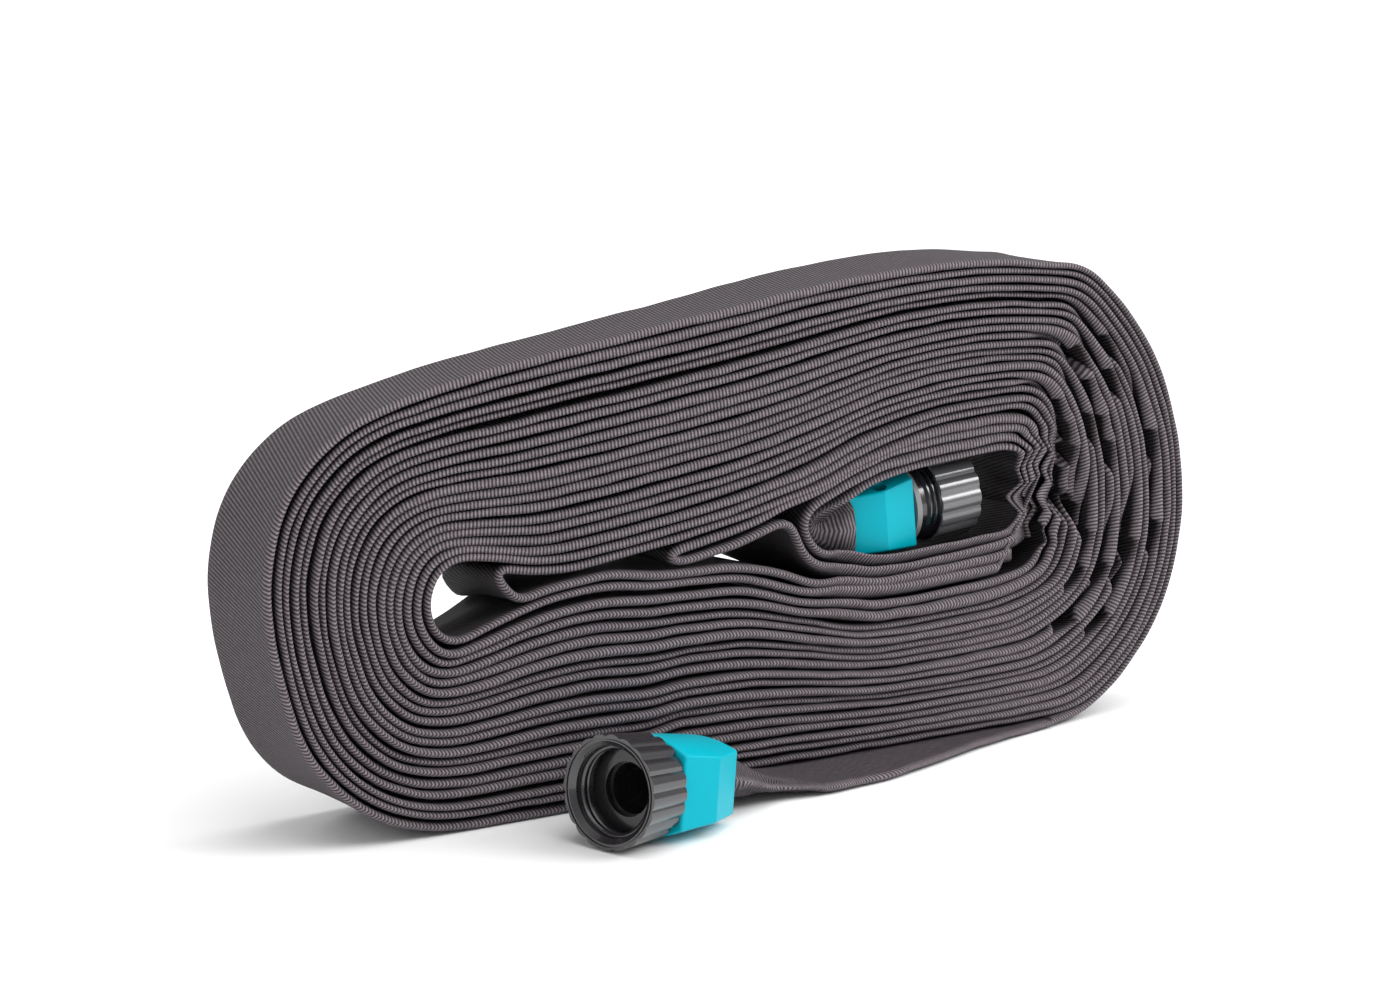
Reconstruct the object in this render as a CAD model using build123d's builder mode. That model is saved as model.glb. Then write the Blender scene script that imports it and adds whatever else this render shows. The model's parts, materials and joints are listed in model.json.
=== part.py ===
"""Rolled lay-flat garden hose: a woven flat hose wound into an oval roll that stands on its edge,
with a swivel inlet coupling on its outer end and a capped male outlet coupling in its core.

Millimetres, +Z up, +X along the roll, -Y towards the side where the inlet coupling lies.
The origin is on the floor, at the middle of the whole part's box.
"""

import os
from math import cos, pi, radians, sin, tan

from build123d import *

os.makedirs("parts", exist_ok=True)

# ---------------------------------------------------------------- driving dimensions

# The hose, pressed flat, and its two walls where it is round
HOSE_WIDTH = 44.0
HOSE_THICK = 3.2
HOSE_CORNER = 1.5
LINER_WALL = 0.65
JACKET_WALL = 0.7

# Garden hose thread, 3/4-11.5: pitch, male crest and root, female wall
THREAD_PITCH = 25.4 / 11.5
MALE_CREST_R = 13.4
MALE_ROOT_R = 12.3
FEMALE_WALL_R = 13.75

# Hose washers
WASHER_OUT_R = 12.7
WASHER_IN_R = 8.3
WASHER_THICK = 2.6

# Swivel nut: a ring of round lobes that tapers a little towards the hose
NUT_LENGTH = 17.0
NUT_FRONT_R = 17.35
NUT_REAR_R = 16.1
NUT_LOBES = 20
NUT_LOBE_DEPTH = 0.75
NUT_MOUTH_R = 15.3
NUT_MOUTH_CHAMFER = 1.5
NUT_SEAT_R = 13.0
NUT_SEAT_FROM = 8.7
NUT_WALL_FROM = 13.5
RIM_GROOVE_IN_R = 15.7
RIM_GROOVE_OUT_R = 16.3
RIM_GROOVE_DEPTH = 0.5

# End cap: round lobes for grip, wider than the nut's
CAP_LENGTH = 16.0
CAP_R = 15.3
CAP_LOBES = 16
CAP_LOBE_DEPTH = 0.8
CAP_FLOOR = 1.8
CAP_LEAD_IN = 0.5
CAP_TURNS = 4

# Both tailpieces: the tube that carries the seal or the thread, a groove that the clamp shells
# lock into, and the barbs that the hose is pushed over
BORE_R = 7.8
SHANK_R = 8.8
BARB_R = 9.4
BARB_PITCH = 4.0
BARB_COUNT = 4
NECK_R = 10.5
GROOVE_R = 9.5
LOCK_R = 10.6
LOCK_TO = 5.0
FLANGE_THICK = 2.05
COLLAR_R = 13.8
COLLAR_LENGTH = 2.0
THREAD_SHOWN = 7.5

# Clamp shells: two halves, widest at a ridge where the screws are. The three values of each
# list are for the coupling end, the ridge and the hose end.
SHELL_LENGTH = 27.0
SHELL_STATIONS = (0.0, 13.5, 27.0)
SHELL_HALF_WIDTHS = (14.3, 17.0, 13.2)
SHELL_SIDE_HEIGHTS = (11.4, 9.9, 9.8)
SHELL_CROWN_HEIGHTS = (15.2, 13.8, 12.1)
SHELL_EDGE = 1.0
SHELL_END_WALL = 3.0
SHELL_GAP = 0.4
SCREW_OUT = 13.3
SCREW_AT = 13.5
SCREW_HEAD_R = 2.5
SCREW_HEAD_HEIGHT = 1.6
SCREW_SHANK_R = 1.3
SCREW_HEAD_FROM = 6.6
SCREW_TIP = -6.5
RECESS_R = 2.75

# Clearances
FLOOR_CLEAR = 0.05
RUN_CLEAR = 0.08
FACE_CLEAR = 0.05

# Where the couplings lie, from the middle of the roll, and the roll's own shift along X
ROLL_X = 1.43
INLET_MOUTH_X = -84.0
INLET_MOUTH_Y = -60.0
INLET_YAW = 19.5
INLET_TILT = 6.1
OUTLET_RIDGE_X = 47.5
OUTLET_RIDGE_Z = 77.6
OUTLET_TILT = 5.5

# The part's box runs from the nut's nearest point to the roll's far side
NEAREST_Y = INLET_MOUTH_Y - NUT_FRONT_R * cos(radians(INLET_YAW))
ROLL_Y = -(NEAREST_Y + HOSE_WIDTH / 2) / 2

# The roll seen along +Y: x along the roll and z up, clockwise from the floor
FLOOR_LEFT = (-121.0, 0.0)
FLOOR_RIGHT = (-46.0, 0.0)
STEP_LEFT = (-34.0, HOSE_THICK + 0.3)
STEP_RIGHT = (118.0, HOSE_THICK + 0.3)
TAIL_START = (118.0, 0.0)
ROLL_OUTLINE = (
    FLOOR_LEFT,
    (-139.9, 7.4),
    (-155.7, 20.6),
    (-170.2, 52.4),
    (-172.0, 95.0),
    (-152.9, 123.7),
    (-114.3, 137.2),
    (-28.1, 151.0),
    (47.7, 160.3),
    (90.0, 161.4),
    (126.5, 155.6),
    (153.9, 128.4),
    (170.9, 79.8),
    (164.4, 37.9),
    (153.6, 19.6),
    (140.5, 6.5),
    (129.5, 1.6),
    TAIL_START,
)
POCKET_CORNER = 1.5
POCKET_LEFT = 17.0
CORE_POCKET = (
    (POCKET_LEFT, 68.0),
    (POCKET_LEFT, 84.0),
    (27.0, 91.0),
    (46.0, 94.0),
    (70.0, 96.6),
    (97.5, 98.8),
    (100.2, 82.0),
    (100.0, 66.6),
    (72.0, 63.6),
    (46.0, 62.2),
    (28.0, 62.6),
)
LEFT_HOLLOW = (
    (-122.0, 72.0),
    (-116.0, 84.0),
    (-101.5, 80.0),
    (-91.5, 66.5),
    (-95.0, 59.0),
    (-114.6, 58.5),
    (-121.0, 64.0),
)
MIDDLE_HOLLOW = ((-28.0, 72.8), (-12.0, 77.0), (3.0, 83.0), (9.0, 76.0), (6.0, 69.0), (-8.0, 71.0))

# The middle line of the tail, flat on the floor, from inside the roll to where it starts to pleat
TAIL_ROUTE = ((124.0, 0.0), (94.0, -7.7), (66.0, -16.5), (37.0, -24.5), (2.0, -30.0))

# The hose pleated and then gathered between the flat tail and the inlet's shells: the middle and
# the width, height and corner of both sections, and of the one in the core
PLEAT_AT = (-9.0, -35.8, HOSE_THICK / 2)
PLEAT_SIZE = (26.5, HOSE_THICK, HOSE_CORNER)
GATHER_AT = (-22.0, -39.6, 5.7)
GATHER_SIZE = (25.0, 9.0, 4.0)
CORE_GATHER_SIZE = (36.0, 9.0, 4.0)
CORE_END_Z = 77.0

# ---------------------------------------------------------------- frames of the roll and couplings

roll_plane = Plane(origin=(ROLL_X, ROLL_Y, 0), x_dir=(1, 0, 0), z_dir=(0, -1, 0))

# A coupling's frame: local z runs from its open end to its hose, x across the flat hose
yaw, tilt = radians(INLET_YAW), radians(INLET_TILT)
inlet_origin = Vector(
    ROLL_X + INLET_MOUTH_X,
    ROLL_Y + INLET_MOUTH_Y,
    NUT_LENGTH * sin(tilt) + NUT_REAR_R * cos(tilt) + FLOOR_CLEAR,
)
inlet_axis = Vector(cos(yaw) * cos(tilt), sin(yaw) * cos(tilt), -sin(tilt))
inlet = Plane(origin=inlet_origin, x_dir=(-sin(yaw), cos(yaw), 0), z_dir=inlet_axis)
inlet_shell_at = NUT_LENGTH + SHELL_GAP

lift = radians(OUTLET_TILT)
outlet_axis = Vector(-cos(lift), 0, -sin(lift))
collar_from = CAP_LENGTH + THREAD_SHOWN
outlet_shell_at = collar_from + COLLAR_LENGTH + 1.5
outlet_ridge = Vector(ROLL_X + OUTLET_RIDGE_X, ROLL_Y, OUTLET_RIDGE_Z)
outlet_origin = outlet_ridge - outlet_axis * (outlet_shell_at + SHELL_STATIONS[1])
outlet = Plane(origin=outlet_origin, x_dir=(0, -1, 0), z_dir=outlet_axis)


def save(part, name):
    part.label = name
    export_step(part, f"parts/{name}.step")


def turned(frame, points):
    """A solid of revolution from (radius, distance along the coupling) points."""
    half_plane = Plane(origin=frame.origin, x_dir=frame.x_dir, z_dir=frame.x_dir.cross(frame.z_dir))
    with BuildPart() as piece:
        with BuildSketch(half_plane):
            with BuildLine():
                Polyline(*points, close=True)
            make_face()
        revolve(axis=Axis(frame.origin, frame.z_dir))
    return piece.part


def ring(frame, inner, outer, start, end):
    """A plain tube round the coupling's centre line."""
    return turned(frame, ((inner, start), (outer, start), (outer, end), (inner, end)))


def lobed_outline(radius, lobes, depth):
    """A closed line of equal arcs that bulge outwards to the radius."""
    corner_r = radius - depth
    step = 2 * pi / lobes
    for lobe in range(lobes):
        first, last = (lobe - 0.5) * step, (lobe + 0.5) * step
        ThreePointArc(
            (corner_r * cos(first), corner_r * sin(first)),
            (radius * cos(lobe * step), radius * sin(lobe * step)),
            (corner_r * cos(last), corner_r * sin(last)),
        )


# ---------------------------------------------------------------- the hose


def hollow_outline(points):
    with BuildSketch(roll_plane) as hollow:
        with BuildLine():
            Polyline(*points, close=True)
        make_face()
        fillet(hollow.vertices(), radius=POCKET_CORNER)
    return hollow.sketch


with BuildPart() as hose_roll:
    with BuildSketch(roll_plane):
        with BuildLine():
            Spline(*ROLL_OUTLINE)
            Polyline(TAIL_START, STEP_RIGHT, STEP_LEFT, FLOOR_RIGHT, FLOOR_LEFT)
        make_face()
    extrude(amount=HOSE_WIDTH / 2, both=True)
    for hollow_points in (CORE_POCKET, LEFT_HOLLOW, MIDDLE_HOLLOW):
        extrude(hollow_outline(hollow_points), amount=HOSE_WIDTH, both=True, mode=Mode.SUBTRACT)
save(hose_roll.part, "hose_roll")


def bend_radii(points):
    """The largest arcs that a route's runs allow at its corners."""
    radii = []
    for before, here, after in zip(points, points[1:], points[2:]):
        into, out = Vector(*here) - Vector(*before), Vector(*after) - Vector(*here)
        turn = radians(into.get_angle(out))
        radii.append(0.45 * min(into.length, out.length) / tan(turn / 2))
    return radii


tail_points = [(ROLL_X + x, ROLL_Y + y, HOSE_THICK / 2) for x, y in TAIL_ROUTE]
tail_radii = bend_radii(tail_points)
print("tail bend radii, mm:", [round(r) for r in tail_radii])

with BuildPart() as hose_tail:
    with BuildLine() as tail_line:
        FilletPolyline(*tail_points, radius=tail_radii)
    tail_path = tail_line.wire()
    with BuildSketch(Plane(origin=tail_path @ 0, x_dir=(0, 0, 1), z_dir=tail_path % 0)):
        RectangleRounded(HOSE_THICK, HOSE_WIDTH, HOSE_CORNER)
    sweep(path=tail_path)
    print(
        f"tail: {tail_path.length:.1f} mm long,"
        f" volume over length {hose_tail.part.volume / tail_path.length:.1f} mm2"
    )
    split(bisect_by=Plane(origin=(ROLL_X + TAIL_START[0], 0, 0), z_dir=(-1, 0, 0)))
save(hose_tail.part, "hose_tail")

liner_in_r = BARB_R + FACE_CLEAR
liner_out_r = liner_in_r + LINER_WALL
jacket_in_r = liner_out_r + FACE_CLEAR
jacket_out_r = jacket_in_r + JACKET_WALL
shell_bore_r = jacket_out_r + FACE_CLEAR
grip_from = LOCK_TO + 0.3
round_to = SHELL_LENGTH + 1.0
FLAT = (HOSE_WIDTH, HOSE_THICK, HOSE_CORNER)


def hose_end(frame, shell_at, sections):
    """The hose's own end: round over the liner and barbs, then gathered out to its flat width."""
    round_side = 2 * jacket_out_r
    with BuildPart() as end:
        with BuildSketch(frame.offset(shell_at + grip_from)):
            Circle(jacket_out_r)
            Circle(jacket_in_r, mode=Mode.SUBTRACT)
        extrude(amount=round_to - grip_from)
        with BuildSketch(frame.offset(shell_at + round_to)):
            RectangleRounded(round_side, round_side, jacket_out_r - 0.25)
        for plane, size in sections:
            with BuildSketch(plane):
                RectangleRounded(*size)
        loft(ruled=True)
    return end.part


tail_heading = tail_path % 1
flat_plane = Plane(
    origin=tail_path @ 1, x_dir=(tail_heading.Y, -tail_heading.X, 0), z_dir=tail_heading * -1
)
gather_plane, pleat_plane = (
    Plane(
        origin=Vector(ROLL_X, ROLL_Y, 0) + Vector(*place),
        x_dir=(inlet.x_dir + flat_plane.x_dir).normalized(),
        z_dir=(Vector(inlet.z_dir.X, inlet.z_dir.Y, 0) + flat_plane.z_dir).normalized(),
    )
    for place in (GATHER_AT, PLEAT_AT)
)
inlet_sections = ((gather_plane, GATHER_SIZE), (pleat_plane, PLEAT_SIZE), (flat_plane, FLAT))
save(hose_end(inlet, inlet_shell_at, inlet_sections), "hose_inlet_end")

core_flat_plane = Plane(
    origin=(ROLL_X + POCKET_LEFT, ROLL_Y, CORE_END_Z), x_dir=outlet.x_dir, z_dir=(-1, 0, 0)
)
core_round_end = outlet.offset(outlet_shell_at + round_to).origin
core_gather_plane = Plane(
    origin=(core_round_end + core_flat_plane.origin) * 0.5, x_dir=outlet.x_dir, z_dir=(-1, 0, 0)
)
outlet_sections = ((core_gather_plane, CORE_GATHER_SIZE), (core_flat_plane, FLAT))
save(hose_end(outlet, outlet_shell_at, outlet_sections), "hose_outlet_end")

for liner_name, liner_frame, liner_shell_at in (
    ("liner_inlet_end", inlet, inlet_shell_at),
    ("liner_outlet_end", outlet, outlet_shell_at),
):
    liner_start = liner_shell_at + grip_from
    liner_end = liner_shell_at + SHELL_LENGTH
    save(ring(liner_frame, liner_in_r, liner_out_r, liner_start, liner_end), liner_name)

# ---------------------------------------------------------------- tailpieces


def tailpiece(frame, head_points, shell_at):
    """A turned tube: its own head, then the locking groove, the barbs and the bore."""
    points = list(head_points)
    points += [
        (NECK_R, shell_at - FACE_CLEAR),
        (GROOVE_R, shell_at - FACE_CLEAR),
        (GROOVE_R, shell_at + SHELL_END_WALL + FACE_CLEAR),
        (LOCK_R, shell_at + SHELL_END_WALL + FACE_CLEAR),
        (LOCK_R, shell_at + LOCK_TO),
        (SHANK_R, shell_at + LOCK_TO),
    ]
    barbs_from = shell_at + LOCK_TO + 0.5
    for barb in range(BARB_COUNT):
        start = barbs_from + barb * BARB_PITCH
        points += [(SHANK_R, start), (BARB_R, start), (SHANK_R, start + BARB_PITCH - 0.01)]
    points += [(BORE_R, barbs_from + BARB_COUNT * BARB_PITCH - 0.01)]
    return turned(frame, points)


flange_from = NUT_WALL_FROM - FACE_CLEAR - FLANGE_THICK
flange_r = NUT_SEAT_R - RUN_CLEAR
inlet_head = (
    (BORE_R, flange_from),
    (flange_r, flange_from),
    (flange_r, flange_from + FLANGE_THICK),
    (NECK_R, flange_from + FLANGE_THICK),
)
save(tailpiece(inlet, inlet_head, inlet_shell_at), "inlet_tailpiece")

cap_washer_from = CAP_FLOOR + FACE_CLEAR
male_from = cap_washer_from + WASHER_THICK + FACE_CLEAR
thread_rings = int((collar_from - male_from - 2.0) / THREAD_PITCH)
outlet_head = [(BORE_R, male_from), (MALE_ROOT_R, male_from)]
for thread_ring in range(thread_rings):
    ridge = male_from + 1.0 + thread_ring * THREAD_PITCH
    outlet_head += [
        (MALE_ROOT_R, ridge),
        (MALE_CREST_R, ridge + 0.7),
        (MALE_CREST_R, ridge + 1.1),
        (MALE_ROOT_R, ridge + 1.8),
    ]
outlet_head += [(MALE_ROOT_R, collar_from), (NECK_R, collar_from)]
save(tailpiece(outlet, outlet_head, outlet_shell_at), "outlet_tailpiece")

collar_bore_r = NECK_R + FACE_CLEAR
save(
    ring(outlet, collar_bore_r, COLLAR_R, collar_from + FACE_CLEAR, collar_from + COLLAR_LENGTH),
    "outlet_collar",
)

# ---------------------------------------------------------------- swivel nut and its washer

with BuildPart() as swivel_nut:
    with BuildSketch(inlet):
        with BuildLine():
            lobed_outline(NUT_FRONT_R, NUT_LOBES, NUT_LOBE_DEPTH)
        make_face()
    with BuildSketch(inlet.offset(NUT_LENGTH)):
        with BuildLine():
            lobed_outline(NUT_REAR_R, NUT_LOBES, NUT_LOBE_DEPTH)
        make_face()
    loft(ruled=True)
    add(
        turned(
            inlet,
            (
                (0, -1),
                (NUT_MOUTH_R, -1),
                (NUT_MOUTH_R, 0),
                (FEMALE_WALL_R, NUT_MOUTH_CHAMFER),
                (FEMALE_WALL_R, NUT_SEAT_FROM),
                (NUT_SEAT_R, NUT_SEAT_FROM),
                (NUT_SEAT_R, NUT_WALL_FROM),
                (NECK_R + RUN_CLEAR, NUT_WALL_FROM),
                (NECK_R + RUN_CLEAR, NUT_LENGTH + 1),
                (0, NUT_LENGTH + 1),
            ),
        ),
        mode=Mode.SUBTRACT,
    )
    add(
        ring(inlet, RIM_GROOVE_IN_R, RIM_GROOVE_OUT_R, -1, RIM_GROOVE_DEPTH),
        mode=Mode.SUBTRACT,
    )
save(swivel_nut.part, "swivel_nut")

inlet_washer_to = flange_from - FACE_CLEAR
save(
    ring(inlet, WASHER_IN_R, WASHER_OUT_R, inlet_washer_to - WASHER_THICK, inlet_washer_to),
    "inlet_washer",
)

# ---------------------------------------------------------------- end cap and its washer

with BuildPart() as end_cap:
    with BuildSketch(outlet):
        with BuildLine():
            lobed_outline(CAP_R, CAP_LOBES, CAP_LOBE_DEPTH)
        make_face()
    extrude(amount=CAP_LENGTH)
    add(
        turned(
            outlet,
            (
                (0, CAP_FLOOR),
                (FEMALE_WALL_R, CAP_FLOOR),
                (FEMALE_WALL_R, CAP_LENGTH - CAP_LEAD_IN),
                (FEMALE_WALL_R + CAP_LEAD_IN, CAP_LENGTH),
                (FEMALE_WALL_R + CAP_LEAD_IN, CAP_LENGTH + 1),
                (0, CAP_LENGTH + 1),
            ),
        ),
        mode=Mode.SUBTRACT,
    )
save(end_cap.part, "end_cap")

with BuildPart() as cap_washer:
    with BuildSketch(outlet.offset(cap_washer_from)):
        Circle(WASHER_OUT_R)
    extrude(amount=WASHER_THICK)
save(cap_washer.part, "cap_washer")
print(f"cap travel: {CAP_TURNS * THREAD_PITCH:.2f} mm in {CAP_TURNS} turns")

# ---------------------------------------------------------------- clamp shells and screws


def shell_block(frame, shell_at):
    """The solid outer shape of both halves: flat sides and crowned top and bottom."""
    with BuildPart() as block:
        for station, width, side, crown in zip(
            SHELL_STATIONS, SHELL_HALF_WIDTHS, SHELL_SIDE_HEIGHTS, SHELL_CROWN_HEIGHTS
        ):
            with BuildSketch(frame.offset(shell_at + station)):
                with BuildLine():
                    Line((width, -side), (width, side))
                    ThreePointArc((width, side), (0, crown), (-width, side))
                    Line((-width, side), (-width, -side))
                    ThreePointArc((-width, -side), (0, -crown), (width, -side))
                make_face()
        loft(ruled=True)
        fillet(block.edges(), radius=SHELL_EDGE)
    return block.part


def screw_places(frame, shell_at, head_up):
    """Planes at the two screws, with local z out of the screw heads."""
    out = frame.y_dir if head_up else frame.y_dir * -1
    places = []
    for side in (-1, 1):
        middle = frame.origin + frame.z_dir * (shell_at + SCREW_AT)
        places.append(
            Plane(origin=middle + frame.x_dir * (side * SCREW_OUT), x_dir=frame.x_dir, z_dir=out)
        )
    return places


def clamp_shells(frame, shell_at, head_up, prefix):
    """The two halves, hollowed for the tailpiece, the hose and the screws."""
    wall_hole_r = GROOVE_R + FACE_CLEAR
    hollow_from = shell_at + SHELL_END_WALL
    with BuildPart() as shells:
        add(shell_block(frame, shell_at))
        add(
            turned(
                frame,
                (
                    (0, shell_at - 1),
                    (wall_hole_r, shell_at - 1),
                    (wall_hole_r, hollow_from),
                    (shell_bore_r, hollow_from),
                    (shell_bore_r, shell_at + SHELL_LENGTH + 1),
                    (0, shell_at + SHELL_LENGTH + 1),
                ),
            ),
            mode=Mode.SUBTRACT,
        )
        for place in screw_places(frame, shell_at, head_up):
            with BuildSketch(place.offset(SCREW_HEAD_FROM)):
                Circle(RECESS_R)
            extrude(amount=2 * RECESS_R + SCREW_HEAD_FROM, mode=Mode.SUBTRACT)
            with BuildSketch(place.offset(SCREW_TIP)):
                Circle(SCREW_SHANK_R)
            extrude(amount=SCREW_HEAD_FROM - SCREW_TIP, mode=Mode.SUBTRACT)
    split_plane = Plane(origin=frame.origin, x_dir=frame.x_dir, z_dir=frame.y_dir)
    for keep, half in ((Keep.TOP, "upper"), (Keep.BOTTOM, "lower")):
        with BuildPart() as shell_half:
            add(shells.part)
            split(bisect_by=split_plane, keep=keep)
        save(shell_half.part, f"{prefix}_shell_{half}")


def shell_screws(frame, shell_at, head_up, name):
    """A pair of pan-head screws with a cross recess."""
    with BuildPart() as screws:
        for place in screw_places(frame, shell_at, head_up):
            with BuildSketch(place.offset(SCREW_TIP)):
                Circle(SCREW_SHANK_R)
            extrude(amount=SCREW_HEAD_FROM - SCREW_TIP)
            with BuildSketch(place.offset(SCREW_HEAD_FROM)):
                Circle(SCREW_HEAD_R)
            extrude(amount=SCREW_HEAD_HEIGHT)
            with BuildSketch(place.offset(SCREW_HEAD_FROM + SCREW_HEAD_HEIGHT / 2)):
                Rectangle(2.8, 0.6)
                Rectangle(0.6, 2.8)
            extrude(amount=SCREW_HEAD_HEIGHT, mode=Mode.SUBTRACT)
    save(screws.part, name)


for coupling, coupling_shell_at, heads_up, prefix in (
    (inlet, inlet_shell_at, False, "inlet"),
    (outlet, outlet_shell_at, True, "outlet"),
):
    clamp_shells(coupling, coupling_shell_at, heads_up, prefix)
    shell_screws(coupling, coupling_shell_at, heads_up, f"{prefix}_shell_screws")
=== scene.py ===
"""Looks for the rolled lay-flat hose: woven hose, couplings, floor, light and camera."""

import json
import math

import bpy
import numpy as np
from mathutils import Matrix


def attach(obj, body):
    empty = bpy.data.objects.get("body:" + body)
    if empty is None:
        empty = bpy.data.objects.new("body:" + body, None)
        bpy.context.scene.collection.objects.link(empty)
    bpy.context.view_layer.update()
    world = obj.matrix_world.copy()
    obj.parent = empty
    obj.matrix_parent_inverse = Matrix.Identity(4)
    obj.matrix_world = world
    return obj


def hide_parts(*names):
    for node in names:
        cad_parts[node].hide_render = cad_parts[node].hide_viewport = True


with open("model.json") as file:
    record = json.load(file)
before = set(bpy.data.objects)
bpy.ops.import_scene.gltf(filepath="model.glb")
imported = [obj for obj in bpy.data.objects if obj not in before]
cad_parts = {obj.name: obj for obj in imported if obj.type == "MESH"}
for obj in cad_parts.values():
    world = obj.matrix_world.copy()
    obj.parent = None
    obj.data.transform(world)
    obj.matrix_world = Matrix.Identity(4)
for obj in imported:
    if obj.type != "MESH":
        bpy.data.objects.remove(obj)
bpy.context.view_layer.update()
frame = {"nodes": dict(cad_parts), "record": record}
scene = bpy.context.scene
MM = 0.001

# ---------------------------------------------------------------- camera, light and floor

ROLL_X, ROLL_Y = 1.43, 27.1774  # mm, the roll's middle in the shared frame, as in the CAD

# The camera stands in front of the roll and to its left (mm from the roll's middle, and degrees)
CAMERA_LEFT, CAMERA_FRONT, CAMERA_HIGH = 493.8, 753.1, 260.3
LOOK_DOWN, LOOK_RIGHT = 10.9, 32.5
LENS = 73.3

cam = bpy.data.cameras.new("camera")
cam.lens = LENS
cam.clip_start = 0.05
cam.clip_end = 30
camera = bpy.data.objects.new("camera", cam)
camera.location = (
    (ROLL_X - CAMERA_LEFT) * MM,
    (ROLL_Y - CAMERA_FRONT) * MM,
    CAMERA_HIGH * MM,
)
camera.rotation_euler = (math.radians(90 - LOOK_DOWN), 0, math.radians(-LOOK_RIGHT))
scene.collection.objects.link(camera)
scene.camera = camera

scene.view_settings.view_transform = "Standard"
scene.view_settings.look = "None"


def new_material(name):
    mat = bpy.data.materials.new(name)
    mat.use_nodes = True
    tree = mat.node_tree
    return mat, tree, tree.nodes["Principled BSDF"]


def node(tree, kind, **values):
    made = tree.nodes.new(kind)
    for key, value in values.items():
        setattr(made, key, value)
    return made


def math_node(tree, operation, first, second=None):
    made = node(tree, "ShaderNodeMath", operation=operation)
    for slot, value in enumerate((first, second)):
        if value is None:
            continue
        if isinstance(value, (int, float)):
            made.inputs[slot].default_value = value
        else:
            tree.links.new(value, made.inputs[slot])
    return made.outputs[0]


def area_light(name, place, aim, size, watts, colour=(1, 1, 1)):
    data = bpy.data.lights.new(name, "AREA")
    data.shape = "RECTANGLE"
    data.size, data.size_y = size
    data.energy = watts
    data.color = colour
    lamp = bpy.data.objects.new(name, data)
    lamp.location = place
    direction = np.array(aim) - np.array(place)
    flat = math.hypot(direction[0], direction[1])
    lamp.rotation_euler = (
        math.atan2(flat, -direction[2]),
        0,
        math.atan2(direction[1], direction[0]) - math.pi / 2,
    )
    scene.collection.objects.link(lamp)


area_light("key_softbox", (1.4, -1.1, 1.2), (0, 0, 0.05), (0.9, 0.9), 20)
area_light("back_softbox", (-0.8, 1.7, 1.3), (0, 0, 0.05), (0.9, 0.9), 12)
area_light("left_softbox", (-1.5, -0.6, 1.0), (0, 0, 0.05), (0.8, 0.8), 5)

sun_data = bpy.data.lights.new("soft_sun", "SUN")
sun_data.energy = 2.3
sun_data.angle = math.radians(75)
sun = bpy.data.objects.new("soft_sun", sun_data)
sun.rotation_euler = (math.radians(22), 0, math.radians(58))
scene.collection.objects.link(sun)

world = bpy.data.worlds.new("studio")
world.use_nodes = True
world.node_tree.nodes["Background"].inputs["Color"].default_value = (1, 1, 1, 1)
world.node_tree.nodes["Background"].inputs["Strength"].default_value = 0.44
scene.world = world

floor_mesh = bpy.data.meshes.new("floor")
SPAN = 40.0  # so wide that no edge or horizon shows
floor_mesh.from_pydata(
    [(-SPAN, -SPAN, 0), (SPAN, -SPAN, 0), (SPAN, SPAN, 0), (-SPAN, SPAN, 0)], [], [(0, 1, 2, 3)]
)
floor = bpy.data.objects.new("floor", floor_mesh)
scene.collection.objects.link(floor)
mat, tree, shader = new_material("floor_paper")
shader.inputs["Base Color"].default_value = (0.96, 0.96, 0.96, 1)
shader.inputs["Roughness"].default_value = 0.9
shader.inputs["Specular IOR Level"].default_value = 0.1
floor_mesh.materials.append(mat)

# ---------------------------------------------------------------- the hose's route

TURNS = 18
FLAT_WIDTH = 44.0

# Guide rays across the roll, seen from the front and clockwise from the left end: each joins a
# point of the innermost full turn to a point of the outermost one (x, z in mm).
RAYS = np.array(
    [
        (-123.5, 70.0, -172.6, 75.0),
        (-121.8, 77.5, -170.6, 95.5),
        (-117.0, 83.3, -162.5, 112.5),
        (-109.0, 84.6, -146.5, 126.0),
        (-98.0, 82.6, -124.0, 133.4),
        (-80.0, 79.8, -97.5, 138.9),
        (-60.0, 81.4, -70.0, 143.2),
        (-40.0, 84.0, -42.0, 147.3),
        (-15.0, 88.0, -12.0, 151.6),
        (10.0, 94.2, 15.0, 155.7),
        (35.0, 103.2, 42.0, 158.5),
        (60.0, 108.8, 66.0, 160.0),
        (80.0, 111.0, 88.0, 160.2),
        (95.0, 111.6, 109.0, 158.2),
        (104.5, 110.0, 126.6, 155.2),
        (110.3, 102.0, 142.2, 142.4),
        (112.3, 92.0, 157.6, 122.6),
        (112.6, 83.0, 167.0, 100.2),
        (112.2, 74.0, 170.9, 79.0),
        (111.0, 65.5, 170.0, 56.6),
        (107.0, 57.5, 163.2, 35.8),
        (98.0, 54.0, 150.5, 18.5),
        (84.0, 52.6, 132.0, 4.6),
        (68.0, 51.8, 108.0, 1.8),
        (50.0, 51.0, 80.0, 1.8),
        (30.0, 52.0, 50.0, 1.8),
        (10.0, 58.0, 22.0, 1.8),
        (-10.0, 64.2, -6.0, 1.8),
        (-28.0, 65.6, -32.0, 1.8),
        (-45.0, 66.2, -52.0, 1.8),
        (-62.0, 67.6, -72.0, 1.8),
        (-80.0, 66.0, -92.0, 1.8),
        (-95.0, 62.6, -110.0, 2.0),
        (-106.0, 59.2, -127.0, 4.3),
        (-114.5, 57.4, -143.5, 12.2),
        (-120.9, 62.4, -158.5, 27.0),
        (-122.8, 66.3, -167.6, 47.5),
    ]
)
RAY_COUNT = len(RAYS)
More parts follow.
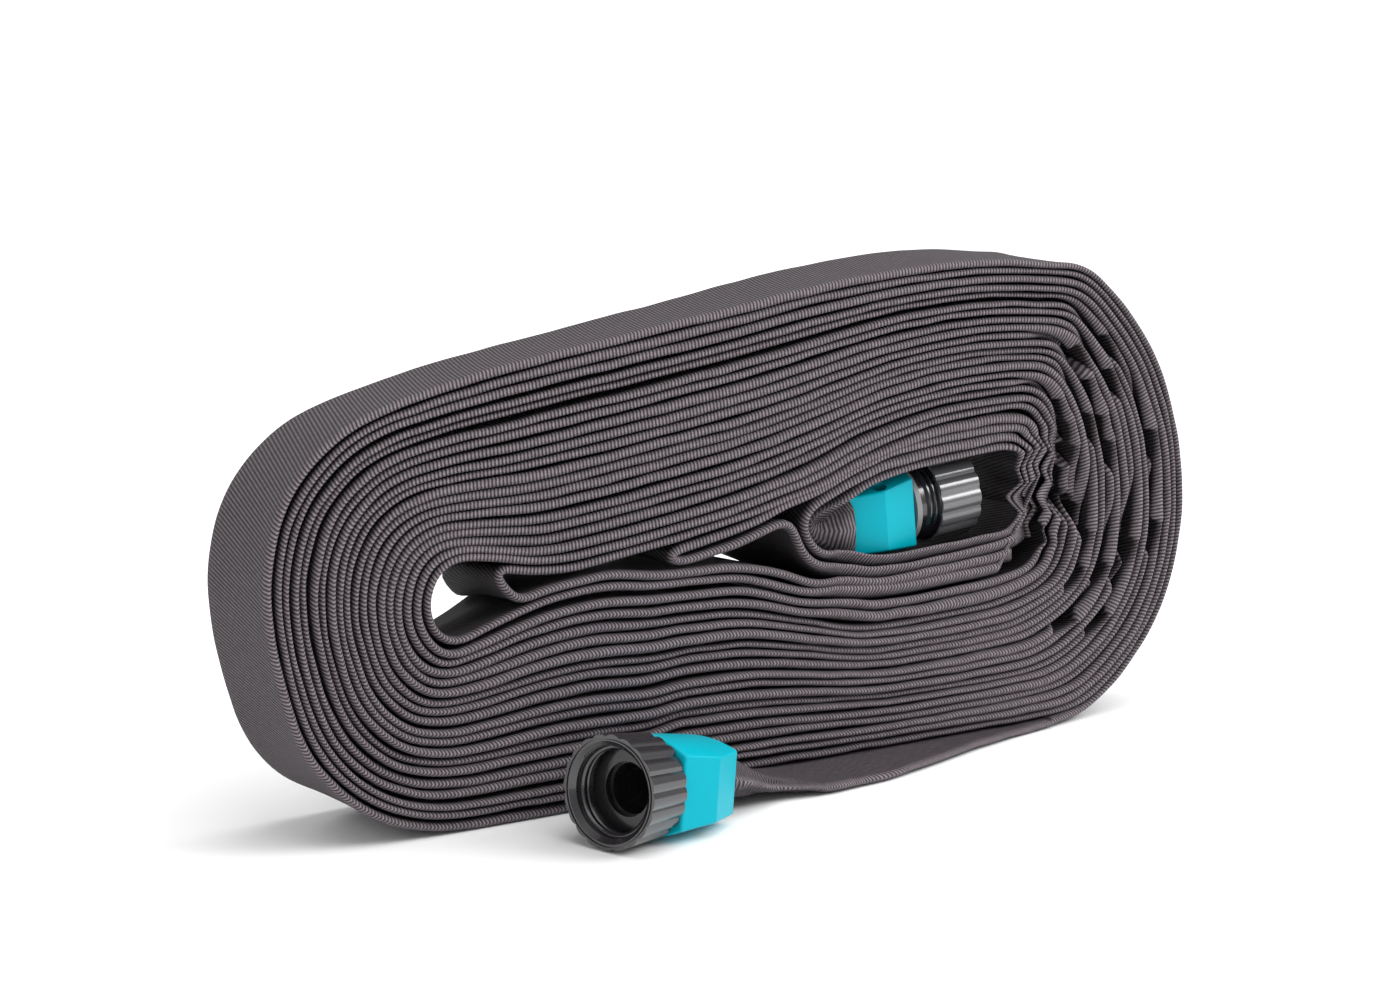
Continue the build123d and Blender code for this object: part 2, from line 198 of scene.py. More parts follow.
# Places round the roll, as shares of a turn: where the tail starts to slide out, where it ends, and
# between which two the last full turn takes over from it as the outermost one
LEAVE_F = 21.9 / RAY_COUNT
TAIL_LAST_F = 26.4 / RAY_COUNT
UNDER_FROM, UNDER_TO = 28.1 / RAY_COUNT, 28.9 / RAY_COUNT

# The core, from the outlet's shells through three wraps round it, a hairpin, and the first long
# turn, up to the start of the full turns (x, z in mm).
CORE = [
    (35.8, 76.6),
    (34.4, 76.3),
    (33.0, 76.2),
    (29.0, 76.0),
    (25.0, 76.4),
    (21.5, 77.3),
    (19.6, 78.6),
    (20.4, 80.8),
    (23.5, 84.2),
    (28.0, 88.0),
    (34.0, 91.6),
    (41.0, 94.4),
    (55.0, 96.9),
    (69.0, 98.4),
    (82.0, 99.5),
    (93.0, 100.2),
    (98.6, 98.6),
    (101.2, 92.0),
    (101.8, 82.0),
    (101.4, 71.6),
    (99.6, 65.6),
    (93.5, 63.7),
    (84.0, 62.9),
    (72.0, 62.2),
    (57.0, 61.2),
    (46.0, 60.9),
    (36.0, 62.2),
    (26.0, 65.8),
    (18.5, 70.4),
    (14.5, 75.0),
    (12.2, 80.0),
    (13.2, 84.6),
    (18.5, 88.8),
    (27.0, 93.0),
    (41.0, 97.5),
    (55.0, 99.9),
    (69.0, 101.4),
    (82.0, 102.5),
    (93.0, 103.2),
    (100.6, 101.6),
    (104.0, 94.0),
    (104.6, 83.0),
    (104.0, 70.5),
    (101.2, 63.6),
    (94.0, 61.2),
    (84.0, 60.2),
    (72.0, 59.2),
    (57.0, 58.2),
    (42.0, 57.8),
    (28.0, 60.2),
    (19.0, 65.2),
    (13.0, 70.6),
    (9.6, 76.5),
    (7.4, 81.6),
    (3.4, 82.4),
    (-6.0, 79.6),
    (-18.0, 76.6),
    (-30.0, 74.6),
    (-37.4, 74.6),
    (-39.0, 76.2),
    (-36.6, 77.8),
    (-26.0, 79.6),
    (-12.0, 82.4),
    (0.0, 86.2),
    (12.0, 90.4),
    (27.0, 96.2),
    (41.0, 100.6),
    (55.0, 102.9),
    (69.0, 104.4),
    (82.0, 105.5),
    (93.0, 106.2),
    (102.6, 104.6),
    (106.8, 96.0),
    (107.5, 83.0),
    (107.0, 69.0),
    (103.4, 61.0),
    (95.0, 58.2),
    (84.0, 57.2),
    (72.0, 56.2),
    (57.0, 55.2),
    (40.0, 54.8),
    (25.0, 57.2),
    (12.0, 62.5),
    (2.0, 66.7),
    (-9.0, 69.2),
    (-19.0, 70.4),
    (-31.0, 70.4),
    (-43.0, 70.7),
    (-57.0, 73.0),
    (-71.0, 72.4),
    (-84.0, 70.9),
    (-88.2, 69.4),
    (-91.2, 68.8),
    (-94.4, 71.2),
    (-98.4, 76.2),
    (-99.6, 78.6),
    (-96.6, 79.5),
    (-88.0, 77.8),
    (-76.0, 76.9),
    (-60.0, 78.6),
    (-40.0, 81.2),
    (-15.0, 85.4),
    (10.0, 91.4),
    (35.0, 100.4),
    (60.0, 106.0),
    (80.0, 108.2),
    (94.0, 108.9),
    (103.6, 107.2),
    (108.6, 100.0),
    (110.2, 91.0),
    (110.4, 83.0),
    (110.0, 73.6),
    (108.8, 65.4),
    (105.0, 58.8),
    (97.0, 55.8),
    (84.0, 54.6),
    (70.0, 53.8),
    (50.0, 53.0),
    (30.0, 53.8),
    (10.0, 59.8),
    (-10.0, 66.0),
    (-28.0, 67.3),
    (-44.0, 67.8),
    (-60.0, 69.6),
    (-80.0, 68.2),
    (-95.0, 64.2),
    (-106.0, 60.8),
    (-114.4, 59.0),
    (-120.4, 63.0),
]

# Beyond the flat tail the hose is pleated and gathered into the inlet's shells (x, y, z in mm).
GATHER = [
    (-4.0, -28.6, 2.4),
    (-13.0, -32.2, 3.6),
    (-22.0, -36.4, 5.6),
    (-30.0, -40.2, 8.8),
    (-37.0, -43.2, 12.0),
    (-42.0, -45.2, 13.3),
    (-48.0, -47.2, 14.2),
    (-54.0, -49.4, 14.9),
]

# The flat hose buckles round the tight right-hand bend: kinks lie in a fan about the bend's middle,
# evenly spaced in angle and with their distances shuffled, each then moved a little by a seeded
# draw (x, z in mm, seen from the front)
KINK_COUNT = 26
BEND_MIDDLE = (92.0, 81.0)
FAN_DEGREES = (-52.0, 62.0)
FAN_REACH = (24.0, 72.0)
FAN_DEGREES_OFF = 4
FAN_REACH_OFF = 1
fan = np.random.default_rng(8)
fan_degrees = np.linspace(*FAN_DEGREES, KINK_COUNT)
fan_angle = np.radians(fan_degrees + fan.uniform(-FAN_DEGREES_OFF, FAN_DEGREES_OFF, KINK_COUNT))
fan_reach = fan.permutation(np.linspace(*FAN_REACH, KINK_COUNT))
fan_reach = fan_reach + fan.uniform(-FAN_REACH_OFF, FAN_REACH_OFF, KINK_COUNT)
KINKS = np.column_stack(
    [
        BEND_MIDDLE[0] + fan_reach * np.cos(fan_angle),
        BEND_MIDDLE[1] + fan_reach * np.sin(fan_angle),
    ]
)


def cubic_through(points, closed, places):
    """Catmull-Rom through points, at places counted in points from the first."""
    count = len(points)
    base = np.floor(places).astype(int)
    u = (places - base)[:, None]

    def at(shift):
        if closed:
            return points[(base + shift) % count]
        return points[np.clip(base + shift, 0, count - 1)]

    a, b, c, d = at(-1), at(0), at(1), at(2)
    return 0.5 * (
        2 * b + (c - a) * u + (2 * a - 5 * b + 4 * c - d) * u**2 + (3 * b - a - 3 * c + d) * u**3
    )


NOISE_VALUES = 4096


def smooth_noise(places, seed):
    """Seeded smooth noise between -1 and 1 over any real places."""
    rng = np.random.default_rng(seed)
    values = rng.uniform(-1, 1, NOISE_VALUES)
    base = np.floor(places).astype(int)
    u = places - base
    u = u * u * (3 - 2 * u)
    return values[base % NOISE_VALUES] * (1 - u) + values[(base + 1) % NOISE_VALUES] * u


def smoothstep(low, high, value):
    u = np.clip((value - low) / (high - low), 0, 1)
    return u * u * (3 - 2 * u)


def ramp_between(bounds, value):
    """0, rising to 1 between the first two bounds and back to 0 between the last two."""
    low, full, still, end = bounds
    return smoothstep(low, full, value) * (1 - smoothstep(still, end, value))


def profile(places, table):
    """Values at places, read along a table of (place, value) pairs."""
    at, size = np.array(table).T
    return np.interp(places, at, size)


def wound(tau):
    """How far out a place on the spiral is, in turns: even but for a slow and a quick wander."""
    return tau + 0.13 * smooth_noise(tau * 3.1, 11) + 0.05 * smooth_noise(tau * 9.7, 12)


def wound_most(f):
    outer, inner = wound(TURNS + f), wound(TURNS - 1 + f)
    return outer - smoothstep(UNDER_FROM, UNDER_TO, f) * (outer - inner)


ROUTE_STEPS_A_TURN = 400
tau = np.arange(0.0, TURNS + TAIL_LAST_F, 1 / ROUTE_STEPS_A_TURN)
f = tau % 1.0
rays = cubic_through(RAYS, True, f * RAY_COUNT)
inner_end, outer_end = rays[:, :2], rays[:, 2:]
ray_length = np.linalg.norm(outer_end - inner_end, axis=1)
depth = wound(tau) / wound_most(f)
turns_xz = inner_end + (outer_end - inner_end) * depth[:, None]
room_in = wound(tau) - wound(np.maximum(tau - 1, -1))
room_out = wound(tau + 1) - wound(tau)
pitch = ray_length / wound_most(f)
turns_room = np.minimum(room_in, room_out) * pitch
tail_share = np.clip((tau - TURNS - LEAVE_F) / (TAIL_LAST_F - LEAVE_F), 0, 1)

# How far in front of the roll's middle the tail runs (x, y in mm)
TAIL_Y = np.array(
    [(134, 0), (122, -2), (108, -4), (92, -6.4), (69, -12), (46, -19.2), (24.5, -25.2), (8, -26.2)]
)
tail_y = np.interp(-turns_xz[:, 0], -TAIL_Y[:, 0], TAIL_Y[:, 1])
tail_y = np.where(tail_share > 0, tail_y, 0.0)

CORE_STEP = 0.1  # of the way from a point of the core to the next
CORE_ROOM, GATHER_ROOM = 3.1, 3.2  # mm between neighbouring layers
core_xz = cubic_through(np.array(CORE), False, np.arange(0, len(CORE) - 0.999, CORE_STEP))
route = np.vstack(
    [
        np.column_stack([core_xz[:, 0], np.zeros(len(core_xz)), core_xz[:, 1]]),
        np.column_stack([turns_xz[:, 0], tail_y, turns_xz[:, 1]]),
        np.array(GATHER),
    ]
)
room = np.concatenate(
    [np.full(len(core_xz), CORE_ROOM), turns_room, np.full(len(GATHER), GATHER_ROOM)]
)
winding = np.concatenate([np.full(len(core_xz), -1.0), tau, np.full(len(GATHER), TURNS + 1.0)])

# Steps along the whole length, closer together round each kink and where the wraps are crumpled
STEP = 2.6
FINE_STEP = 0.9
LEAST_STEP = 0.45  # of a fine step
CORE_LONG = 2600.0  # mm along, from the outlet: the wraps round the coupling and beyond the cap
KINK_REACH = 25.0  # mm either side of a kink that it changes
CRUMPLE_X = (92.0, 97.0, 108.0, 124.0)  # where the wraps beyond the cap are crumpled
CRUMPLE_Z = (60.0, 67.0, 99.0, 108.0)
# Kinks keep clear of both ends, and each may have a layer just inside it (mm)
CLEAR_OF_START, CLEAR_OF_END = 60, 230
LAYER_OFF, LAYER_LEVEL, LAYER_REACH = 1.2, 1.5, 9
# A moving average softens the joins of the route's stretches (steps away, share)
SOFTEN = ((-2, 0.1), (-1, 0.25), (0, 0.3), (1, 0.25), (2, 0.1))
gaps = np.linalg.norm(np.diff(route, axis=0), axis=1)
run = np.concatenate([[0], np.cumsum(gaps)])
total = run[-1]


def on_route(places, values):
    return np.interp(places, run, values)


def kink_places():
    """(place along the hose of each kink, place of the layer just inside it or None)."""
    places = np.arange(0, total, 1.0)
    x, z = (on_route(places, route[:, axis]) for axis in (0, 2))
    free = (places > CLEAR_OF_START) & (places < total - CLEAR_OF_END)
    found = []
    for kink_x, kink_z in KINKS:
        reach = np.where(free, np.hypot(x - kink_x, z - kink_z), 1e3)
        own = int(np.argmin(reach))
        heading = np.array([x[own + 1] - x[own - 1], z[own + 1] - z[own - 1]])
        heading /= np.linalg.norm(heading)
        out = np.array([-heading[1], heading[0]])  # a clockwise route has its outside on the left
        away = np.column_stack([x - x[own], z - z[own]])
        inside = free & (away @ out < -LAYER_OFF) & (np.abs(away @ heading) < LAYER_LEVEL)
        reach = np.where(inside, np.hypot(*away.T), 1e3)
        inner = int(np.argmin(reach))
        found.append((places[own], places[inner] if reach[inner] < LAYER_REACH else None))
    return found


kinks = kink_places()
marks = [place for pair in kinks for place in pair if place is not None]
crumpled = np.arange(0, min(CORE_LONG, total), FINE_STEP)
crumpled_x = on_route(crumpled, route[:, 0])
crumpled = crumpled[(crumpled_x > CRUMPLE_X[0]) & (crumpled_x < CRUMPLE_X[3])]
even = np.arange(0, total, STEP)
near = [np.arange(place - KINK_REACH, place + KINK_REACH, FINE_STEP) for place in marks]
along = np.sort(np.concatenate([even, crumpled, *near, [total]]))
along = along[np.concatenate([[True], np.diff(along) > LEAST_STEP * FINE_STEP])]
count = len(along)


def softened(axis):
    return sum(
        share * on_route(np.clip(along + steps * STEP, 0, total), route[:, axis])
        for steps, share in SOFTEN
    )


line = np.column_stack([softened(axis) for axis in range(3)])
line[0], line[-1] = route[0], route[-1]
room = on_route(along, room)
winding = on_route(along, winding)
print(f"hose length {total / 1000:.3f} m, {count} steps, {len(marks)} kinked places")

# ---------------------------------------------------------------- the hose's surface

TAIL_FACING = 175  # mm from the inlet's end, where the hose starts to face the way the tail runs

tangent = np.gradient(line, along, axis=0)
tangent /= np.linalg.norm(tangent, axis=1)[:, None]
across = np.zeros((count, 3))
across[:] = (0, -1, 0)
in_tail = along > total - TAIL_FACING
heading = tangent[in_tail].copy()
heading[:, 2] = 0
heading /= np.linalg.norm(heading, axis=1)[:, None]
across[in_tail] = np.column_stack([-heading[:, 1], heading[:, 0], np.zeros(len(heading))])
outward = np.cross(across, tangent)
outward /= np.linalg.norm(outward, axis=1)[:, None]

# How round the hose is: 1 in each coupling, 0 where it lies flat
round_start = 1 - smoothstep(14, 36, along)
round_end = smoothstep(total - 66, total - 36, along)
roundness = np.maximum(round_start, round_end)
in_roll = 1 - smoothstep(total - 200, total - 150, along)

MOST_THICK = 3.6
ROOM_FILLED = 0.9
thick = np.minimum(MOST_THICK, ROOM_FILLED * room)
thick *= 1 + 0.10 * smooth_noise(along / 61.0, 21) + 0.05 * smooth_noise(along / 19.0, 22)
edge_shift = 1.1 * smooth_noise(winding * 2.3, 31) + 0.35 * smooth_noise(along / 23.0, 32)
edge_shift *= in_roll

# A kink: the rim swells inwards up to it, then pinches thin, and the layer inside it gives way
SWELL = 2.7
PINCH = 0.70
GIVE = 6.0
POCKET = 9.0
CORNER, CORNER_REACH = 0.6, 10
swell, pinch, give, corner = (np.zeros(count) for _ in range(4))
rng = np.random.default_rng(5)
for place, inner in kinks:
    strength = rng.uniform(0.6, 1.15)
    u = along - place
    rise = np.clip((u + KINK_REACH) / (KINK_REACH - 0.5), 0, 1) ** 1.5
    rise *= 1 - smoothstep(-0.7, 0.7, u)
    swell = np.maximum(swell, SWELL * strength * rise)
    pinch = np.maximum(pinch, PINCH * smoothstep(-0.5, 1.2, u) * (1 - smoothstep(3, 14, u)))
    corner = np.maximum(corner, CORNER * strength * np.clip(1 - np.abs(u) / CORNER_REACH, 0, 1))
    if inner is not None:
        v = along - inner
        give = np.maximum(give, GIVE * smoothstep(-KINK_REACH, -3, v) * (1 - smoothstep(4, 11, v)))
        pocket = (GIVE + POCKET) * strength * smoothstep(-2.0, 1.0, v) * (1 - smoothstep(1.0, 13, v))
        give = np.maximum(give, pocket)
thick *= 1 - pinch
# The first wrap is thinner and keeps its full width, beside the cap as it comes off
FIRST_WRAP_FADES = (205, 225)  # mm along
first_wrap = 1 - smoothstep(*FIRST_WRAP_FADES, along)
give *= 1 - first_wrap
thick *= 1 - 0.22 * first_wrap
swell *= 1 - 0.5 * first_wrap

# The flat section, halfway round from the front rim to the back one: round edges joined by faces
# that are a little hollow along their middle (share of the half width, share of half the
# thickness, share of a kink's swelling that the inner face takes)
HALF_SECTION = [
    (1.00, 0.00, 0.00),
    (0.985, 0.50, 0.35),
    (0.952, 0.84, 0.80),
    (0.905, 1.0, 1.00),
    (0.83, 0.95, 0.75),
    (0.68, 0.80, 0.20),
    (0.35, 0.72, 0.0),
    (0.00, 0.70, 0.0),
    (-0.35, 0.72, 0.0),
    (-0.72, 0.86, 0.0),
    (-0.90, 1.0, 0.0),
    (-0.96, 0.75, 0.0),
    (-1.00, 0.00, 0.0),
]
inner_face = [(a, -n, swelling) for a, n, swelling in HALF_SECTION[-2:0:-1]]
section = [(a, n, 0.0) for a, n, _ in HALF_SECTION] + inner_face
flat_across, flat_out, swell_share = np.array(section).T
AROUND = len(section)
step_around = np.arange(AROUND)
angles = step_around * 2 * math.pi / AROUND
half_w = FLAT_WIDTH / 2
# Way round the section from the front rim, on each face, for the weave
HALF_THICK = 1.3  # of the hose lying flat, near enough for the weave
around_step = np.hypot(half_w * np.diff(flat_across), HALF_THICK * np.diff(flat_out))
from_edge = np.concatenate([[0], np.cumsum(around_step)])
full_way = from_edge[AROUND // 2]
from_edge = np.where(step_around <= AROUND // 2, from_edge, 2 * full_way - from_edge)

round_share = roundness[:, None]
ROUND_R = 12.0  # of the hose where it is gathered round
round_way = ROUND_R * np.minimum(angles, 2 * math.pi - angles)
weave_way = from_edge * (1 - round_share) + round_way * round_share
a_flat = half_w * np.tile(flat_across, (count, 1))
n_flat = thick[:, None] / 2 * flat_out
n_flat -= swell[:, None] * swell_share
n_flat += corner[:, None] * smoothstep(0.2, 0.9, flat_across)
# The tail lies softer: its faces are closer together than its rims, and a few pleats cross it
lying_free = smoothstep(total - 190, total - 165, along)[:, None]
n_flat *= 1 - 0.5 * lying_free * (1 - smoothstep(0.72, 0.9, np.abs(flat_across)))
tail_pleats = np.sin(along / 2.6 + 2.5 * smooth_noise(along / 11.0, 61))[:, None]
pleat_band = np.exp(-(((flat_across - 0.78) / 0.10) ** 2)) * (flat_out < 0)
n_flat += 0.30 * lying_free * tail_pleats * pleat_band
# Rims are a little wavy
n_flat += 0.22 * np.abs(flat_across) ** 4 * smooth_noise(along / 9.0, 41)[:, None]
front_share = smoothstep(-0.2, 0.9, flat_across)
a_flat += edge_shift[:, None] * np.where(flat_across > 0, front_share, 0.25)
a_flat -= give[:, None] * front_share
# Gathered: half the width and half the height of a rounder section, with pleats round it (mm from
# the end, mm)
END_W = ((0, 9.8), (12, 9.8), (25, 10.5), (42, 12.5), (62, 19.0))
END_H = ((0, 9.6), (10, 9.4), (15, 8.2), (25, 5.2), (42, 3.0), (62, 2.0))
START_W = ((0, 15.8), (1, 16.5), (4, 15.9), (8, 13.6), (13, 12.6), (22, 14), (34, 19))
START_H = ((0, 12.9), (1, 13.5), (4, 13.2), (8, 11.6), (13, 10.0), (22, 5), (34, 2.4))
START_LONG = 100
BOXY_LONG, BOXY_POWER = 8, 0.62  # next to the outlet's shells the section is almost a rectangle
PLEATS_AROUND = 6
gather_w = profile(total - along, END_W)
gather_h = profile(total - along, END_H)
near_start = along < START_LONG
gather_w[near_start] = profile(along[near_start], START_W)
gather_h[near_start] = profile(along[near_start], START_H)
boxy = np.where(near_start & (along < BOXY_LONG), BOXY_POWER, 1.0)[:, None]
pleat_place = PLEATS_AROUND * angles[None, :] + 3.0 * smooth_noise(along / 12.0, 51)[:, None]
pleat = np.where(boxy < 1, 0.03, 0.13) * np.sin(pleat_place)
cos_in, sin_in = np.cos(angles)[None, :], np.sin(angles)[None, :]
a_round = gather_w[:, None] * np.sign(cos_in) * np.abs(cos_in) ** boxy * (1 + pleat)
n_round = gather_h[:, None] * np.sign(sin_in) * np.abs(sin_in) ** boxy * (1 + pleat)
a = a_flat * (1 - round_share) + a_round * round_share
n = n_flat * (1 - round_share) + n_round * round_share

# Each ring stands on the route: a is mm across it, towards the front, and n is mm outwards
points = line[:, None, :] + across[:, None, :] * a[:, :, None] + outward[:, None, :] * n[:, :, None]

# Round the coupling in the core, the rims curl in front of it (and behind it) towards its axis
AXIS_LEFT, AXIS_RIGHT = np.array([26.0, 77.0]), np.array([91.0, 81.6])
CURL_RIGHT, CURL_BELOW, CURL_ABOVE = 8.0, 6.6, 1.8
px, pz = points[:, :, 0], points[:, :, 2]  # views, so they follow each later shift of the points
axis_way = AXIS_RIGHT - AXIS_LEFT
along_axis = (px - AXIS_LEFT[0]) * axis_way[0] + (pz - AXIS_LEFT[1]) * axis_way[1]
axis_share = np.clip(along_axis / (axis_way @ axis_way), 0, 1)
to_x = AXIS_LEFT[0] + axis_share * axis_way[0] - px
to_z = AXIS_LEFT[1] + axis_share * axis_way[1] - pz
reach = np.hypot(to_x, to_z)
reach = np.maximum(reach, 1e-6)
side = np.arctan2(-to_z, -to_x)  # 0 to the right, +90 degrees above, -90 below
right_part = np.clip(np.cos(side), 0, 1) ** 2 * np.clip(axis_share - 0.98, 0, 0.02) / 0.02
below_part = np.clip(-np.sin(side), 0, 1) ** 2 * smoothstep(8.0, 34.0, px)
above_part = np.clip(np.sin(side), 0, 1) ** 2
curl = CURL_RIGHT * right_part + CURL_BELOW * below_part + CURL_ABOVE * above_part
curl *= 1 - smoothstep(15.5, 38.0, reach)
curl *= smoothstep(15.0, 22.0, np.abs(a)) * (1 - round_share) * (along < CORE_LONG)[:, None]
points[:, :, 0] += curl * to_x / reach
points[:, :, 2] += curl * to_z / reach

# The wraps beyond the cap are crumpled into sharp folds, one inside the next
CRUMPLE_MM = 1.75
CRUMPLE_OUT = 1.0  # the folds stand outwards, away from the cap as it comes off
CRUMPLE_LONG = 5000  # mm along, from the outlet
FOLD_PITCH = 10.4
fold_at = (pz - 66.0 + 0.25 * (px - 100.0) + 2.0 * smooth_noise(px / 7.0, 71)) / FOLD_PITCH
zigzag = 2 * np.abs(2 * (fold_at - np.floor(fold_at)) - 1) ** 1.3 - 1
crumple = CRUMPLE_MM * (zigzag + CRUMPLE_OUT)
crumple *= ramp_between(CRUMPLE_X, px)
crumple *= ramp_between(CRUMPLE_Z, pz)
less_behind = 1 - 0.5 * smoothstep(0.0, 30.0, half_w - a)
crumple *= (along < CRUMPLE_LONG)[:, None] * (1 - round_share) * less_behind
points[:, :, 0] += crumple

# At the back, the strand round the middle hollow and the one under it stand closer together, and
# the fold at the left stands clear of the left hollow (centre x, z, reach, shift x, z in mm)
BACK_SHIFTS = [
    (16.0, 66.0, 17.0, -9.0, -1.0),
    (8.0, 60.0, 16.0, 0.0, 1.5),
    (-99.0, 74.0, 14.0, 3.5, -3.0),
    (-112.0, 61.0, 17.0, 0.0, -4.0),
]
to_back = smoothstep(-4.0, 22.0, -a) * (along > 120)[:, None]
for centre_x, centre_z, spread, shift_x, shift_z in BACK_SHIFTS:
    from_centre = (points[:, :, 0] - centre_x) ** 2 + (points[:, :, 2] - centre_z) ** 2
    weight = to_back * np.exp(-from_centre / spread**2)
    points[:, :, 0] += weight * shift_x
    points[:, :, 2] += weight * shift_z

# The roll leans: its back face sits lower than its front face at the left end
sink_x = np.array([-172.0, -120.0, -60.0, 0.0, 60.0, 172.0])
sink_mm = np.array([4.6, 4.2, 3.2, 2.4, 0.6, -0.8])
to_back = np.clip((half_w - a) / FLAT_WIDTH, 0, 1.05)
sink = np.interp(points[:, :, 0], sink_x, sink_mm) * to_back * smoothstep(0.0, 24.0, points[:, :, 2])
points[:, :, 2] -= sink * in_roll[:, None]
points[:, :, 0] += ROLL_X
points[:, :, 1] += ROLL_Y
points[:, :, 2] = np.maximum(points[:, :, 2], 0.0)
points *= MM


def tube_mesh(name, grid):
    """A closed tube of quads from a grid of rings, with both ends capped."""
    rings, sides = grid.shape[:2]
    index = np.arange(rings * sides).reshape(rings, sides)
    nxt = np.roll(index, -1, axis=1)
    quads = np.stack([index[:-1], nxt[:-1], nxt[1:], index[1:]], axis=-1).reshape(-1, 4)
    mesh = bpy.data.meshes.new(name)
    caps = [tuple(index[0][::-1]), tuple(index[-1])]
    faces = quads.tolist() + [list(map(int, cap)) for cap in caps]
    mesh.from_pydata(grid.reshape(-1, 3).tolist(), [], faces)
    mesh.update()
    mesh.shade_smooth()
    return mesh


# Painted shade: faces pressed between two turns are painted darker than the ones that lie open
last_turn = smoothstep(TURNS + LEAVE_F - 1.02, TURNS + LEAVE_F - 0.98, winding)[:, None]
open_share = np.maximum(last_turn * smoothstep(0.0, 0.4, flat_out), lying_free)
open_share = np.maximum(open_share, round_share)

hose_mesh = tube_mesh("hose", points)
for name, values in (
    ("along", np.repeat(along * MM, AROUND)),
    ("from_edge", (weave_way * MM).ravel()),
    ("open_share", open_share.ravel()),
):
    attribute = hose_mesh.attributes.new(name, "FLOAT", "POINT")
    attribute.data.foreach_set("value", values.astype(np.float32))
hose = bpy.data.objects.new("hose", hose_mesh)
scene.collection.objects.link(hose)
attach(hose, "hose")
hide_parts("hose_roll", "hose_tail", "hose_inlet_end", "hose_outlet_end")

# ---------------------------------------------------------------- the nut's thread

NUT_ROOT_R, NUT_CREST_R = 13.9, 12.5
THREAD_PITCH = 2.209
THREAD_LONG = 6.4
STEPS_A_TURN = 72


def helix_ridge(name, middle, axis):
    """A ridge wound inside a hole, from its mouth inwards, that fades out at both ends."""
    axis = np.array(axis) / np.linalg.norm(axis)
    side = np.cross(axis, (0, 0, 1))
    side /= np.linalg.norm(side)
    other = np.cross(axis, side)
    turns = THREAD_LONG / THREAD_PITCH
    steps = int(turns * STEPS_A_TURN)
    share = np.linspace(0, 1, steps)
    angle = 2 * math.pi * turns * share
    fade = np.minimum(1, np.minimum(share, 1 - share) * 2 * turns)
    height = (NUT_ROOT_R - NUT_CREST_R) * fade
    shift = THREAD_LONG * (share - 0.5)
    ring = [(0.0, 0.85), (1.0, 0.25), (1.0, -0.25), (0.0, -0.85)]  # share of height, mm along
    grid = np.zeros((steps, len(ring), 3))
    for k, (up, sideways) in enumerate(ring):
        radius = NUT_ROOT_R - height * up
        grid[:, k] = (
            np.array(middle)
            + (radius * np.cos(angle))[:, None] * side * MM
            + (radius * np.sin(angle))[:, None] * other * MM
            + (shift + sideways)[:, None] * axis * MM
        )
    return tube_mesh(name, grid)


thread_mount = next(m for m in frame["record"]["mounts"] if m["name"] == "inlet_thread")
nut_thread = bpy.data.objects.new(
    "nut_thread", helix_ridge("nut_thread", thread_mount["pos_m"], thread_mount["axis"])
)
scene.collection.objects.link(nut_thread)
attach(nut_thread, "nut")

# ---------------------------------------------------------------- materials

TWILL = 0.00125

mat, tree, shader = new_material("woven_jacket")
along_value = node(tree, "ShaderNodeAttribute", attribute_name="along").outputs["Fac"]
edge_value = node(tree, "ShaderNodeAttribute", attribute_name="from_edge").outputs["Fac"]
slant = math_node(tree, "MULTIPLY", edge_value, 0.35)
slanted = math_node(tree, "SUBTRACT", along_value, slant)
phase = math_node(tree, "MULTIPLY", slanted, 2 * math.pi / TWILL)
wave = math_node(tree, "SINE", phase)
height = math_node(tree, "MULTIPLY_ADD", wave, 0.5)
height.node.inputs[2].default_value = 0.5
ramp = node(tree, "ShaderNodeValToRGB")
ramp.color_ramp.elements[0].position = 0.15
ramp.color_ramp.elements[0].color = (0.026, 0.0215, 0.024, 1)
ramp.color_ramp.elements[1].position = 0.9
ramp.color_ramp.elements[1].color = (0.150, 0.127, 0.142, 1)
tree.links.new(height, ramp.inputs["Fac"])
yarn = node(tree, "ShaderNodeTexNoise")
yarn.inputs["Scale"].default_value = 700
yarn.inputs["Detail"].default_value = 2
coords = node(tree, "ShaderNodeTexCoord")
tree.links.new(coords.outputs["Object"], yarn.inputs["Vector"])
shade = math_node(tree, "MULTIPLY_ADD", yarn.outputs["Fac"], 0.9)
shade.node.inputs[2].default_value = 0.55
# The rims are painted lighter than the faces, partly as wear on the folded edges and partly as painted
# light; the faces darken away from the rims as painted shade in the grooves between turns
rim_wear_and_groove_shade = node(tree, "ShaderNodeMapRange")
rim_wear_and_groove_shade.inputs["From Max"].default_value = 0.0034
rim_wear_and_groove_shade.inputs["To Min"].default_value = 1.6
open_value = node(tree, "ShaderNodeAttribute", attribute_name="open_share").outputs["Fac"]
# Painted shade on the faces: darkest where pressed between two turns, lighter where they lie open
face_painted_shade = math_node(tree, "MULTIPLY_ADD", open_value, 0.42)
face_painted_shade.node.inputs[2].default_value = 0.32
tree.links.new(face_painted_shade, rim_wear_and_groove_shade.inputs["To Max"])
tree.links.new(edge_value, rim_wear_and_groove_shade.inputs["Value"])
shade = math_node(tree, "MULTIPLY", shade, rim_wear_and_groove_shade.outputs["Result"])
tinted = node(tree, "ShaderNodeVectorMath", operation="SCALE")
tree.links.new(ramp.outputs["Color"], tinted.inputs[0])
tree.links.new(shade, tinted.inputs["Scale"])
tree.links.new(tinted.outputs[0], shader.inputs["Base Color"])
bump = node(tree, "ShaderNodeBump")
bump.inputs["Strength"].default_value = 0.5
bump.inputs["Distance"].default_value = 0.0002
tree.links.new(height, bump.inputs["Height"])
tree.links.new(bump.outputs["Normal"], shader.inputs["Normal"])
shader.inputs["Roughness"].default_value = 0.75
